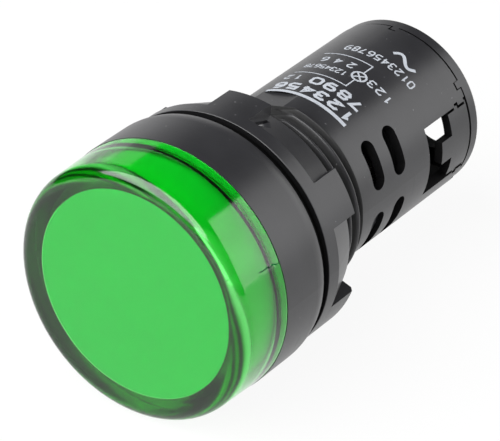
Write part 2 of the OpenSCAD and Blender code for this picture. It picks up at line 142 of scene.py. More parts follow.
# %%
class Value:
    """One output of a shader graph. Arithmetic on it adds Math nodes to the graph."""

    def __init__(self, graph, socket):
        self.graph, self.socket = graph, socket

    def _math(self, operation, *others):
        values = dict(enumerate((self,) + others))
        return self.graph.node("ShaderNodeMath", {"operation": operation}, values)

    def __add__(self, other):
        return self._math("ADD", other)

    def __sub__(self, other):
        return self._math("SUBTRACT", other)

    def __mul__(self, other):
        return self._math("MULTIPLY", other)

    def __rsub__(self, other):
        return (self * -1.0) + other

    __radd__, __rmul__ = __add__, __mul__

    def abs(self):
        return self._math("ABSOLUTE")

    def power(self, exponent):
        return self._math("POWER", exponent)

    def least(self, other):
        return self._math("MINIMUM", other)

    def step(self, low, high):
        """0 at low, 1 at high, and a smooth rise between them. Low may be the larger one."""
        return self.graph.node("ShaderNodeMapRange", {"interpolation_type": "SMOOTHSTEP"},
                               {"Value": self, "From Min": low, "From Max": high}, "Result")


# %% [markdown]
# `Graph` is the material itself. Its `node` method is the one place where a node is made: it sets
# the node's settings first, since they decide which sockets there are, and then gives each socket
# a number, a colour or another node's output. Patterns are laid on **Object** coordinates, which
# are metres from the light's own origin, so a pattern stays on its piece when the piece moves.

# %%
# The Mix node's colour sockets share their names with its number sockets, so they are counted
MIX_A, MIX_B, MIX_RESULT = 6, 7, 2


class Graph:
    """A material's node graph, with a Principled BSDF at its end."""

    def __init__(self, name, **settings):
        self.material = bpy.data.materials.new(name)
        self.material.use_nodes = True
        self.tree = self.material.node_tree
        self.shader = self.tree.nodes["Principled BSDF"]
        self.output = self.tree.nodes["Material Output"]
        for socket, value in settings.items():
            self.shader.inputs[socket.replace("_", " ")].default_value = value
        self.position = self.node("ShaderNodeTexCoord", output="Object")

    def node(self, kind, settings=None, inputs=None, output=0):
        """Adds a node from its type, its settings and its sockets, and gives one output."""
        node = self.tree.nodes.new(kind)
        for name, value in (settings or {}).items():
            setattr(node, name, value)
        for socket, value in (inputs or {}).items():
            self.feed(node.inputs[socket], value)
        return Value(self, node.outputs[output])

    def feed(self, socket, value):
        """Links an output to a socket, or sets the socket to a plain number or colour."""
        if isinstance(value, Value):
            self.tree.links.new(value.socket, socket)
        else:
            socket.default_value = value

    def coordinate(self, name):
        """The place of the shaded point along X, Y or Z, in metres."""
        return self.node("ShaderNodeSeparateXYZ", inputs={0: self.position}, output=name)

    def along(self):
        """Distance along the light's axis, in millimetres."""
        return self.coordinate("Y") * (1 / MM)

    def from_axis(self):
        """Distance from the light's axis, in millimetres."""
        x, z = self.coordinate("X"), self.coordinate("Z")
        return (x * x + z * z).power(0.5) * (1 / MM)

    def noise(self, size, detail=2.0, stretch=(1, 1, 1)):
        """Smooth noise from 0 to 1, with features about `size` millimetres across."""
        scale = [s / (size * MM) for s in stretch]
        place = self.node("ShaderNodeMapping", inputs={"Vector": self.position, "Scale": scale})
        return self.node("ShaderNodeTexNoise",
                         inputs={"Vector": place, "Scale": 1.0, "Detail": detail})

    def mix(self, factor, a, b):
        """Colour a where factor is 0, and colour b where it is 1."""
        a, b = (c if isinstance(c, Value) else (*c, 1.0) for c in (a, b))
        return self.node("ShaderNodeMix", {"data_type": "RGBA"},
                         {"Factor": factor, MIX_A: a, MIX_B: b}, MIX_RESULT)

    def colour(self, value):
        self.feed(self.shader.inputs["Base Color"],
                  value if isinstance(value, Value) else (*value, 1.0))

    def roughness(self, value):
        self.feed(self.shader.inputs["Roughness"], value)

    def bump(self, height, depth):
        """Raises the surface by height times depth, in millimetres, as the light sees it."""
        normal = self.node("ShaderNodeBump", inputs={"Distance": depth * MM, "Height": height})
        self.feed(self.shader.inputs["Normal"], normal)


# %% [markdown]
# ## Black moulded plastic
#
# The bezel, the tube, the nut and the rear cover are moulded from black plastic. It looks dark
# grey in a white studio, because its faint gloss mirrors the room. One flat tone would look like
# paint, so a fine grain breaks the mirror up, slow noise shifts the tone and the roughness, and
# noise that is cut off at a threshold leaves a few specks of dust.
#
# Noise that is long along X and Z and short along Y makes streaks that run round the light: they
# are the rubs of handling. On the housing the thread's valleys get a mask of their own, which
# makes them rougher than the crests and paints shade into them: their colour is darkened to near
# black, as if little light reached them.

# %%
# The valleys' near-black colour is painted shade, not a colour of the plastic
SHADE, DUST_COLOUR, VALLEY_SHADE_COLOUR = 0.022, (0.25, 0.25, 0.26), (0.003, 0.003, 0.003)
# The radii and the places along the axis between which the valleys' rough finish and painted shade
# fade out
VALLEY_DEPTH, VALLEY_END = (10.5, 10.85), (12.6, 12.75)


def black_plastic(name, dull_shaded_valleys=False):
    g = Graph(name, IOR=1.5, Specular_IOR_Level=0.5)
    slow, fine = g.noise(7.0), g.noise(0.22, detail=3.0)
    plain = g.mix(slow.step(0.3, 0.7), (SHADE, SHADE, SHADE * 1.12),
                  (SHADE * 1.4, SHADE * 1.4, SHADE * 1.55))
    dust = g.noise(0.3, detail=0.0).step(0.82, 0.86) * g.noise(4.0, detail=1.0).step(0.45, 0.6)
    rubs = g.noise(0.5, detail=2.0, stretch=(0.12, 2.5, 0.12)).step(0.62, 0.72)
    roughness = slow * 0.08 + fine * 0.06 + rubs * 0.06 + 0.28
    if dull_shaded_valleys:
        shaded_valley = (1.0 - g.from_axis().step(*VALLEY_DEPTH)) * (1.0 - g.along().step(*VALLEY_END))
        roughness = roughness + shaded_valley * 0.3
        # Painted shade: the valleys' colour goes almost black, as if light didn't reach them
        plain = g.mix(shaded_valley * 0.85, plain, VALLEY_SHADE_COLOUR)
    g.colour(g.mix(dust * 0.5, plain, DUST_COLOUR))
    g.roughness(roughness)
    g.bump(fine, 0.004)
    return g.material


moulding = black_plastic("black_moulding")
print("made", moulding.name)

# %% [markdown]
# ## Unpolished plastic with painted shade, and rubber
#
# Inside the vents and windows no one polished the mould, and the gasket is plain rubber. Both are
# nearly black, with a stronger grain than the outside. The plastic's black is much darker than
# the outside's: it is painted shade, for places that little light reaches. One function with a
# few settings makes both. Turning their gloss down matters more than their colour: a mirror on
# the far wall of a slot would make the slot look shallow.

# %%
def matte_black(name, low, high, gloss, grain, rough):
    """A dull black between two tones. The grain is the size of its noise, in millimetres."""
    g = Graph(name, IOR=1.5, Specular_IOR_Level=gloss)
    fine = g.noise(grain, detail=3.0)
    g.colour(g.mix(fine, low, high))
    g.roughness(fine * 0.2 + rough)
    g.bump(fine, 0.01)
    return g.material


# Painted shade: this plastic is far darker than the outside's, for the shade in vents, windows and
# gaps
unpolished_and_shaded = matte_black("inner_moulding_painted_shade", (0.003, 0.003, 0.0035), (0.007, 0.007, 0.0075),
                         gloss=0.12, grain=0.3, rough=0.55)
rubber = matte_black("black_rubber", (0.0015, 0.0015, 0.0015), (0.004, 0.004, 0.004),
                     gloss=0.03, grain=0.15, rough=0.7)
print("made", unpolished_and_shaded.name, "and", rubber.name)

# %% [markdown]
# ## Clear green plastic
#
# The lens is clear plastic with a green dye. A green surface colour would tint a thin edge and a
# thick wall alike. Dye in the body works by depth: a **Volume Absorption** node on the material's
# volume takes red and blue out of the light, more of it the further the light travels. That is
# why the thick rim is deep green and the face is bright.

# %%
DYE, DYE_DENSITY = (0.0, 0.86, 0.08, 1.0), 330.0


def clear_green():
    g = Graph("clear_green", Transmission_Weight=1.0, IOR=1.58, Roughness=0.1)
    g.colour((0.92, 1.0, 0.94))
    g.bump(g.noise(5.0, detail=1.0), 0.03)
    dye = g.node("ShaderNodeVolumeAbsorption", inputs={"Color": DYE, "Density": DYE_DENSITY})
    g.feed(g.output.inputs["Volume"], dye)
    print("made", g.material.name)
    return g.material


# %% [markdown]
# ## Milky green plastic
#
# Behind the lens stands a cup that spreads the lamps' light. It is milky, so a matte surface
# stands in for it, and the lens in front adds its own green. The cup's wall is thinner than its
# front, and it gets painted light: a brighter, purer green than the front, so that it shines.
# `along` is the distance from the panel, so one smooth step behind the front face changes the
# colour.

# %%
CUP_CORNER = (LENS_FACE + 2.1, LENS_FACE + 2.5)


def milky_green_painted_light():
    g = Graph("milky_green_painted_light", IOR=1.5, Roughness=0.7, Specular_IOR_Level=0.1)
    front = g.mix(g.noise(3.0), (0.01, 0.8, 0.2), (0.02, 0.84, 0.22))
    # Painted light: behind CUP_CORNER the wall is a brighter, purer green, so that it shines
    g.colour(g.mix(g.along().step(*CUP_CORNER), front, (0.0, 1.0, 0.1)))
    g.bump(g.noise(0.6), 0.001)
    print("made", g.material.name)
    return g.material


# %% [markdown]
# ## Finishes for the pieces inside
#
# The boards, lamps, screws and components show only through the vents, the windows and the holes
# in the rear cover. One function makes all their finishes: a base colour that a fine noise shades
# a little, with a roughness that follows the same noise.

# %%
SHADED = 0.8


def coloured(name, base, rough=0.4, metal=0.0, grain=0.3, **settings):
    """A plain material with a little variation, down to SHADED times the base colour."""
    g = Graph(name, Metallic=metal, **settings)
    fine = g.noise(grain, detail=3.0)
    g.colour(g.mix(fine, base, tuple(c * SHADED for c in base)))
    g.roughness(fine * 0.12 + (rough - 0.06))
    g.bump(fine, 0.005)
    return g.material


# %% [markdown]
# Resistors are lacquered, with colour bands across their length. A band is a mask: the distance
# from the band's middle, with a soft step at half its width. Each band is mixed over the colour
# that came before it.

# %%
BAND_WIDTH, BAND_PITCH, BAND_BLUR = 0.5, 0.9, 0.02
low, high = span("dropper_resistor")
FIRST_BAND = low.y + 0.3 * (high.y - low.y)


def banded(name, base, bands):
    g = Graph(name, IOR=1.5)
    along = g.along()
    colour = g.mix(g.noise(0.4), base, tuple(c * 0.85 for c in base))
    for i, band in enumerate(bands):
        from_middle = (along - (FIRST_BAND + i * BAND_PITCH)).abs()
        inside = 1.0 - from_middle.step(BAND_WIDTH / 2 - BAND_BLUR, BAND_WIDTH / 2 + BAND_BLUR)
        colour = g.mix(inside, colour, band)
    g.colour(colour)
    g.roughness(g.noise(0.4) * 0.1 + 0.3)
    return g.material


# %% [markdown]
# ## Dressing the CAD pieces
#
# Most CAD pieces have the right shape already. They could be copied and replaced like the others
# below, but a new material in the piece's own slot is enough, and its shape stays as it is.

# %%
def dress(material, *names):
    for name in names:
        piece = nodes[name]
        piece.data.materials.clear()
        piece.data.materials.append(material)
    print(material.name, "dresses", len(names), "pieces")


dress(moulding, "mounting_nut", "rear_cover")
dress(unpolished_and_shaded, "terminal_block")
dress(rubber, "panel_gasket")
dress(milky_green_painted_light(), "diffuser")
dress(coloured("board_mask", (0.02, 0.16, 0.06), rough=0.35), "led_board", "driver_board")
dress(coloured("lamp_epoxy", (0.85, 0.87, 0.84), rough=0.12, Transmission_Weight=0.7, IOR=1.54),
      *[name for name in nodes if name.startswith("led_") and name != "led_board"])
dress(coloured("nickel", (0.62, 0.6, 0.56), rough=0.28, metal=1.0, grain=0.5),
      "link_pin_1", "link_pin_2", "clamp_washer_1", "clamp_washer_2",
      "terminal_screw_1", "terminal_screw_2")
dress(coloured("brass", (0.78, 0.57, 0.24), rough=0.3, metal=1.0),
      "terminal_plate_1", "terminal_plate_2")
dress(coloured("film_case", (0.62, 0.42, 0.03), rough=0.35), "film_capacitor")
dress(coloured("can_sleeve", (0.02, 0.03, 0.16), rough=0.25), "filter_capacitor")
dress(coloured("rectifier_epoxy", (0.02, 0.02, 0.022), rough=0.5), "bridge_rectifier")
dress(banded("dropper_lacquer", (0.25, 0.42, 0.55),
             [(0.4, 0.02, 0.02), (0.5, 0.03, 0.02), (0.6, 0.35, 0.02), (0.5, 0.35, 0.05)]),
      "dropper_resistor")
dress(banded("bleed_lacquer", (0.5, 0.36, 0.2),
             [(0.12, 0.05, 0.02), (0.01, 0.01, 0.01), (0.65, 0.5, 0.02), (0.5, 0.35, 0.05)]),
      "bleed_resistor")

# %% [markdown]
# ## The thread
#
# The CAD model's neck is a plain cylinder over the thread's crests. On the real light a nut runs
# on a thread of 1.5 mm pitch there, which a flat cuts through. A Screw modifier would wind a
# profile, but the flat and the two ends would have to be cut out of it afterwards. A height is
# simpler: how far a point is past the ridge, once the ridge has moved one pitch for each turn. A
# plane at height h has radius h / cos(angle) round the axis, so the flat is a height too, and the
# lower of the two is the surface.

# %%
PITCH, ROOT_R = 1.5, 9.98
CREST_WIDTH, FLANK_WIDTH = 0.2, 0.5
RIDGE_START = 0.55
NECK_CHAMFER = 0.4


def thread_radius(angle, y):
    past_ridge = (y - RIDGE_START) / PITCH - angle / 360.0
    from_ridge = abs(past_ridge - round(past_ridge)) * PITCH
    height = (CREST_WIDTH / 2 + FLANK_WIDTH - from_ridge) / FLANK_WIDTH
    radius = ROOT_R + (NECK_R - ROOT_R) * min(max(height, 0.0), 1.0)
    return min(radius, NECK_R - max(0.0, y - NECK_END + NECK_CHAMFER))


def flat_radius(angle):
    """The flat's distance from the axis at an angle. Past 60 degrees it is far outside."""
    return FLAT_HEIGHT / max(math.cos(math.radians(angle - FLAT_ANGLE)), 0.5)


print(f"the thread is {NECK_R - ROOT_R:.2f} mm deep")

# %% [markdown]
# To put the thread in, the neck's own faces have to go. A face belongs to the neck if it lies
# between the bezel and the tube and far enough out, or if it lies in the flat's plane. A CAD mesh
# brings exact normals, which an edit loses, so we note those of the faces that stay. The CAD's
# own mesh is never touched: all this happens to a copy.

# %%
NECK_INSIDE_R = 9.75  # the neck's bore is narrower than this, and its outside is wider
TOUCHING, PARALLEL = 0.001, 0.9999


def on_neck(points):
    """Whether a face of the CAD housing belongs to the neck's plain outside."""
    ys = [p.y for p in points]
    between = min(ys) > -TOUCHING and TOUCHING < max(ys) < NECK_END + TOUCHING
    outside = min(distance_from_axis(p) for p in points) > NECK_INSIDE_R
    normal = (points[1] - points[0]).cross(points[2] - points[0]).normalized()
    flat = at(FLAT_ANGLE, 1, 0) / MM
    on_flat = normal.dot(flat) > PARALLEL and abs(points[0].dot(flat) - FLAT_HEIGHT) < 0.01
    return on_flat or (between and outside)


def housing_without_neck():
    """A copy of the housing's mesh without the neck, its normals, and where the flat ends."""
    source = nodes["housing"].data
    corners = [v.co / MM for v in source.vertices]
    normals = [n.vector.copy() for n in source.corner_normals]
    neck, kept_normals, flat_end = [], [], NECK_END
    for face in source.polygons:
        points = [corners[i] for i in face.vertices]
        if on_neck(points):
            neck.append(face.index)
            flat_end = max(flat_end, *(p.y for p in points))
        else:
            kept_normals += [normals[i] for i in face.loop_indices]
    bm = bmesh.new()
    bm.from_mesh(source)
    bm.faces.ensure_lookup_table()
    bmesh.ops.delete(bm, geom=[bm.faces[i] for i in neck], context="FACES")
    print(len(neck), "neck faces taken off the housing")
    return mesh_from("housing_threaded", bm), kept_normals, flat_end


# %% [markdown]
# The new surface is a spun tube of small quads, with a last ring that steps down to the CAD's
# tube. Each of its points then moves in or out to the height of the thread there. The flat goes
# on a little way over the start of the CAD's tube, where one quad closes it.

# %%
COLUMNS, ROWS = 300, 150


def threaded_neck(flat_end):
    """The neck's outside as a mesh, with the thread and the flat."""
    last_ring = at(0, TUBE_R, NECK_END)
    rings = [at(0, NECK_R, NECK_END * r / (ROWS - 1)) for r in range(ROWS)]
    bm = spun([last_ring] + rings[::-1], COLUMNS)
    for vertex in bm.verts:
        co = vertex.co / MM
        angle = math.degrees(math.atan2(co.x, co.z))
        on_last_ring = distance_from_axis(co) < (NECK_R + TUBE_R) / 2
        surface = TUBE_R if on_last_ring else thread_radius(angle, co.y)
        vertex.co = at(angle, min(surface, flat_radius(angle)), co.y)
    spread = math.degrees(math.acos(FLAT_HEIGHT / TUBE_R))
    corners = ((NECK_END, -spread), (NECK_END, spread), (flat_end, spread), (flat_end, -spread))
    bm.faces.new([bm.verts.new(at(FLAT_ANGLE + side, TUBE_R, y)) for y, side in corners])
    return mesh_from("neck", bm)


# %% [markdown]
# The neck is smooth, and the rest keeps the CAD's normals. Faces inside the tube, in the vents
# and in the windows get the unpolished plastic, whose near-black colour is painted shade: a face
# is one of them if it lies below the tube's outside and doesn't look outwards.

# %%
INSIDE_START, INSIDE_R = NECK_END + 0.5, TUBE_R - 0.06


def threaded_housing():
    """A copy of the CAD housing whose neck carries its thread."""
    mesh, normals, flat_end = housing_without_neck()
    neck = threaded_neck(flat_end)
    neck.shade_smooth()
    normals += [n.vector.copy() for n in neck.corner_normals]
    bm = bmesh.new()
    for part in (mesh, neck):
        bm.from_mesh(part)
    bm.to_mesh(mesh)
    bm.free()
    bpy.data.meshes.remove(neck)
    mesh.shade_smooth()
    mesh.normals_split_custom_set(normals)
    for face in mesh.polygons:
        middle = face.center / MM
        inside = middle.y > INSIDE_START and distance_from_axis(middle) < INSIDE_R
        # The inner faces get the second material, with its painted shade
        face.material_index = int(inside and outwardness(face) < 0.5)
    return show("housing_threaded", mesh)


housing = threaded_housing()
# The first material paints shade into the thread's valleys, and the second paints shade on the
# inner faces
housing.data.materials.append(black_plastic("housing_moulding_shaded_valleys", dull_shaded_valleys=True))
housing.data.materials.append(unpolished_and_shaded)
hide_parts("housing")
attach(housing, "light")

# %% [markdown]
# ## The nut and the rear cover
#
# Both have faces that lie in shade: the nut's face on the gasket, and the cover's edges and
# inside. A second, dull material on those faces paints that shade in near black. The copy brings
# the moulding's material along as its first, and the rule that picks the faces is a small
# function, so one helper does both pieces.

# %%
def two_finishes(name, body, mesh, gets_painted_shade):
    """Shows a copy of a CAD piece, with a dull finish and painted shade on the faces that the rule
    picks.
    """
    for face in mesh.polygons:
        face.material_index = int(gets_painted_shade(face))
    piece = show(name + "_finished", mesh)
    piece.data.materials.append(unpolished_and_shaded)
    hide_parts(name)
    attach(piece, body)


# %% [markdown]
# The CAD model also breaks the nut's front edge by a safe amount, and on the moulding it is
# crisper. A bevel would have to be undone first, so we move the bevel's own two rings of points
# instead: the one on the front face goes out, and the one on the side comes forward.

# %%
EDGE, FINE_EDGE = 0.15, 0.05
NEAR_R, NEAR_Y = 0.02, 0.01  # how well a point has to fit a ring to be one of its own


def crisp_nut():
    mesh = nodes["mounting_nut"].data.copy()
    rim = max(distance_from_axis(v.co / MM) for v in mesh.vertices
              if v.co.y / MM < NUT_FRONT + EDGE + NEAR_R)
    for vertex in mesh.vertices:
        co = vertex.co / MM
        radius = distance_from_axis(co)
        if co.y < NUT_FRONT + NEAR_Y and abs(radius - rim + EDGE) < NEAR_R:
            scale = (rim - FINE_EDGE) / radius
            vertex.co = Vector((co.x * scale, co.y, co.z * scale)) * MM
        elif abs(co.y - NUT_FRONT - EDGE) < NEAR_Y and abs(radius - rim) < NEAR_R:
            vertex.co.y = (NUT_FRONT + FINE_EDGE) * MM
    return mesh


# The nut's face on the gasket gets painted shade
def on_gasket(face):
    return face.normal.y < -0.9 and face.center.y / MM < NUT_FRONT + 0.05


def shaded_cover_faces(face):
    """The cover's edges and inside, which get painted shade: all but its rear face and what looks
    outwards.
    """
    return face.normal.y < 0.9 and outwardness(face) < 0.5


two_finishes("mounting_nut", "nut", crisp_nut(), on_gasket)
two_finishes("rear_cover", "light", nodes["rear_cover"].data.copy(), shaded_cover_faces)

# %% [markdown]
# ## The print on the tube
#
# Such tubes are pad printed: a soft pad presses a thin skin of paint on the plastic. A texture
# would need an image, and a raised solid would be far too thick, so we draw with strokes. Digits
# are lines in a unit square, with their feet at 0 and their tops at 1. The print is a generic
# one: a lamp symbol with its two leads, an alternating current sign, a rule and plain numbers.

# %%
DIGITS = {
    "0": [[(0.2, 0), (0.8, 0), (1, 0.2), (1, 0.8), (0.8, 1), (0.2, 1), (0, 0.8), (0, 0.2),
           (0.2, 0)]],
    "1": [[(0.15, 0.78), (0.5, 1), (0.5, 0)]],
    "2": [[(0, 0.78), (0.2, 1), (0.8, 1), (1, 0.8), (1, 0.62), (0, 0), (1, 0)]],
    "3": [[(0, 0.85), (0.2, 1), (0.8, 1), (1, 0.8), (0.82, 0.54), (1, 0.3), (0.8, 0), (0.2, 0),
           (0, 0.15)], [(0.35, 0.54), (0.8, 0.54)]],
    "4": [[(0.72, 0), (0.72, 1), (0, 0.32), (1, 0.32)]],
    "5": [[(0.95, 1), (0.08, 1), (0.03, 0.58), (0.8, 0.58), (1, 0.38), (1, 0.2), (0.8, 0),
           (0, 0)]],
    "6": [[(0.9, 1), (0.3, 1), (0, 0.7), (0, 0.2), (0.2, 0), (0.8, 0), (1, 0.2), (1, 0.38),
           (0.8, 0.56), (0.05, 0.56)]],
    "7": [[(0, 1), (1, 1), (0.4, 0)]],
    "8": [[(0.2, 0.54), (0.04, 0.76), (0.2, 1), (0.8, 1), (0.96, 0.76), (0.8, 0.54), (1, 0.28),
           (0.8, 0), (0.2, 0), (0, 0.28), (0.2, 0.54)], [(0.3, 0.54), (0.7, 0.54)]],
    "9": [[(0.1, 0), (0.7, 0), (1, 0.3), (1, 0.8), (0.8, 1), (0.2, 1), (0, 0.8), (0, 0.62),
           (0.2, 0.44), (0.95, 0.44)]],
}
print("strokes for", len(DIGITS), "digits")

# %% [markdown]
# `paint` lays one stroke as a narrow ribbon. The stroke is a line on the unrolled tube, in
# millimetres round it and along it. The ribbon starts as a grid of one row, whose two edges are
# then laid on either side of the line. Long steps are divided so that it follows the curve,
# corners are mitred, and it lies a hundredth of a millimetre above the plastic. Strokes that
# cross lie on their own layers, because two faces in one place would flicker.

# %%
PRINT_HEIGHT, LAYER_HEIGHT, LONGEST_STEP = 0.01, 0.002, 0.3


def divided(line):
    """The points of a stroke, with more points between corners that are far apart."""
    points = [Vector(line[0])]
    for corner in line[1:]:
        start = points[-1]
        step = Vector(corner) - start
        parts = max(1, round(step.length / LONGEST_STEP))
        points += [start + step * (i + 1) / parts for i in range(parts)]
    return points


def paint(bm, line, width, layer=0, radius=TUBE_R):
    """Lays a stroke along points of an unrolled cylinder: (millimetres round it, along it)."""
    points = divided(line)
    steps = [b - a for a, b in zip(points, points[1:])]
    closed = (points[0] - points[-1]).length < 1e-6
    before = [steps[-1 if closed else 0]] + steps
    after = steps + [steps[0 if closed else -1]]
    ribbon = bmesh.ops.create_grid(bm, x_segments=len(steps), y_segments=1, size=1)["verts"]
    height = PRINT_HEIGHT + LAYER_HEIGHT * layer
    for i, point in enumerate(points):
        onwards = after[i].normalized()
        along = (before[i].normalized() + onwards).normalized()
        across = Vector((-along.y, along.x)) * (width / 2) / max(along.dot(onwards), 0.5)
        for vertex, p in ((ribbon[i], point + across), (ribbon[len(points) + i], point - across)):
            vertex.co = at(math.degrees(p.x / radius), radius + height, p.y)


# %% [markdown]
# Flat ribbons on a round tube would catch the light in facets. `skin` turns the strokes into an
# object whose normals point straight away from the axis, as the plastic's do, so the paint shades
# like the surface below it.

# %%
def skin(name, bm):
    """Turns painted strokes into an object whose shading follows the round surface below."""
    bmesh.ops.remove_doubles(bm, verts=bm.verts, dist=SAME_POINT)  # where a ring closes
    bm.normal_update()
    inwards = [face for face in bm.faces
               if face.normal.dot(Vector((face.verts[0].co.x, 0, face.verts[0].co.z))) < 0]
    bmesh.ops.reverse_faces(bm, faces=inwards)
    mesh = mesh_from(name, bm)
    mesh.shade_smooth()
    mesh.normals_split_custom_set_from_vertices([Vector((v.co.x, 0, v.co.z)).normalized()
                                                 for v in mesh.vertices])
    return show(name, mesh)


# %% [markdown]
# The writing runs round the tube, with its top towards the lens. Each line of the layout gives a
# number's text, the angle where it starts and its feet's distance along the axis, then its
# height, its digits' width, their pitch and the stroke's width.

# %%
def round_by(angle):
    """Millimetres round the tube for an angle in degrees."""
    return math.radians(angle) * TUBE_R


def number(bm, text, angle, base, height, width, pitch, stroke):
    """Writes digits from an angle on, their feet at `base` along the tube."""
    for place, digit in enumerate(text):
        left = round_by(angle) - place * pitch
        for layer, line in enumerate(DIGITS.get(digit, [])):
            paint(bm, [(left - x * width, base - y * height) for x, y in line], stroke, layer)


RING_STROKE, CROSS_STROKE, LEAD_STROKE, WAVE_STROKE = 0.24, 0.2, 0.15, 0.42
RING_STEPS, WAVE_STEPS = 24, 16


def lamp_symbol(bm, middle, lamp_r=0.82):
    """A ring with a cross in it, and a lead from each side."""
    x, y = middle
    turns = [math.tau * i / RING_STEPS for i in range(RING_STEPS + 1)]
    paint(bm, [(x + lamp_r * math.cos(a), y + lamp_r * math.sin(a)) for a in turns], RING_STROKE)
    reach = lamp_r * math.sqrt(0.5) - 0.09
    for rise, layer in ((reach, 0), (-reach, 1)):
        paint(bm, [(x - reach, y - rise), (x + reach, y + rise)], CROSS_STROKE, layer)
    for lead_y, side, lead_end in ((26.05, 1, -20.5), (20.85, -1, -22.5)):
        lead = [(x, y + side * (lamp_r + 0.1)), (x, lead_y), (round_by(lead_end), lead_y)]
        paint(bm, lead, LEAD_STROKE)


def current_sign(bm, start, middle_y, length=3.2, swing=0.62):
    """One wave, the sign for alternating current."""
    shares = [i / WAVE_STEPS for i in range(WAVE_STEPS + 1)]
    paint(bm, [(start - length * share, middle_y - swing * math.sin(math.tau * share))
               for share in shares], WAVE_STROKE)


def print_marks():
    bm = bmesh.new()
    # The rule, and the bold numbers behind it
    paint(bm, [(round_by(36.3), 15.88), (round_by(-24), 15.88)], 0.5)
    number(bm, "123456", 35, 17.9, 1.25, 1.15, 1.78, 0.4)
    number(bm, "7890", 33.5, 20.05, 1.25, 1.15, 1.78, 0.36)
    number(bm, "12", -12, 20.0, 0.95, 0.75, 1.3, 0.22)
    # The lamp symbol, with small numbers between its leads
    lamp_symbol(bm, (round_by(15.6), 23.4))
    number(bm, "12345678", 8.5, 23.05, 0.8, 0.5, 0.68, 0.15)
    number(bm, "2 4 6", 7.5, 25.0, 0.95, 0.7, 0.85, 0.2)
    # The rows beside and behind it, and one alternating current sign
    number(bm, "123", 40.5, 24.1, 1.0, 0.75, 1.2, 0.21)
    number(bm, "0123456789", 41, 28.45, 1.0, 0.62, 0.95, 0.19)
    current_sign(bm, round_by(34), 30.0)
    return skin("tube_print", bm)


# %% [markdown]
# The ink is pale grey and a little thin where the pad lifted early. Fine noise in **Alpha** lets
# the plastic show through there.

# %%
def print_ink():
    g = Graph("print_ink", IOR=1.45)
    speck, patch = g.noise(0.16, detail=3.0), g.noise(1.6)
    g.colour(g.mix(patch, (0.43, 0.46, 0.51), (0.56, 0.59, 0.64)))
    g.roughness(speck * 0.1 + 0.45)
    g.feed(g.shader.inputs["Alpha"], speck.step(0.28, 0.36) * 0.35 + 0.65)
    return g.material


marks = print_marks()
marks.data.materials.append(print_ink())
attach(marks, "light")

# %% [markdown]
# ## The lens
#
# The lens is a turned shape, so a spin of its profile makes it: half of the cut through it,
# drawn from the axis out and back to the axis. Two hundred and forty steps keep its rim round up
# close. A plain disc would be simpler, but the real cap is hollow, and each of its walls bends
# the light, so the profile has the inside too.

# %%
def turned(name, profile, steps=240):
    """A solid of revolution about the light's axis, from (radius, y) points in millimetres."""
    bm = spun([at(0, radius, y) for radius, y in profile], steps)
    bmesh.ops.recalc_face_normals(bm, faces=bm.faces)
    mesh = mesh_from(name, bm)
    mesh.shade_smooth()
    mesh.set_sharp_from_angle(angle=math.radians(25))
    return show(name, mesh)


def arc(centre, radius, start, end, steps):
    """Points on an arc of a profile, from one angle to another, in degrees from +radius to +y."""
    angles = [math.radians(start + (end - start) * s / steps) for s in range(steps + 1)]
    return [(centre[0] + radius * math.cos(a), centre[1] + radius * math.sin(a)) for a in angles]


# %% [markdown]
# From outside in: a flat face with a round corner, a side that leans out a little, a fine chamfer
# at the seam, and a collar with a bead that snaps into the bezel. Inside, the wall is thick at the
# front, a cone leads back from there to a thinner wall, and at the collar it thickens again.
# Light that meets the cone is turned back, which draws the dark ring round the bright face.

# %%
DRAFT = 0.2
LENS_FACE_R = LENS_R - DRAFT
CORNER_R, CORNER_PROUD = 1.6, 0.04
BORE_R = LENS_FACE_R - 1.6
STEP_R = BORE_R - 0.9
INNER_FACE, STRAIGHT, THIN_LENGTH = LENS_FACE + 1.75, 0.7, 1.0
COLLAR_R, COLLAR_END = STEP_R + 0.75, BEZEL_FRONT + 2.0
BEAD_Y, BEAD_R, BEAD_SUNK, BEAD_HALF = BEZEL_FRONT + 1.5, 0.3, 0.1, 0.25
AIR_GAP, SEAM_CHAMFER = 0.03, 0.07


def lens_profile():
    corner = (LENS_FACE_R + CORNER_PROUD - CORNER_R, LENS_FACE + CORNER_R)
    seat = BEZEL_FRONT - AIR_GAP
    outside = [(0.0, LENS_FACE)] + arc(corner, CORNER_R, -90, 0, 20)
    outside += [(LENS_R, seat - SEAM_CHAMFER), (LENS_R - SEAM_CHAMFER, seat)]
    collar = [(COLLAR_R, seat), (COLLAR_R, BEAD_Y - BEAD_HALF)]
    collar += arc((COLLAR_R - BEAD_SUNK, BEAD_Y), BEAD_R, -60, 60, 6)
    collar += [(COLLAR_R, COLLAR_END), (STEP_R, COLLAR_END)]
    cone_end = BEZEL_FRONT - (BORE_R - STEP_R)
    inside = [(STEP_R, BEZEL_FRONT), (BORE_R, cone_end), (BORE_R, cone_end - THIN_LENGTH)]
    inside += [(STEP_R - 0.05, INNER_FACE + STRAIGHT), (STEP_R - 0.05, INNER_FACE)]
    return outside + collar + inside + [(0.0, INNER_FACE)]


lens = turned("lens_clear", lens_profile())
lens.data.materials.append(clear_green())
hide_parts("lens_cap")
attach(lens, "light")

# %% [markdown]
# ### A flaw in the moulding
#
# A hairline crack starts at the lens's seam, on the side, with two small branches. A real crack
# is a surface inside the plastic, and a dark thread of a tenth of a millimetre on the outside
# reads the same. It is painted as the print is, and then leans in with the lens's side. It has no
# gloss, because a shiny thread would turn white where it mirrors a lamp.

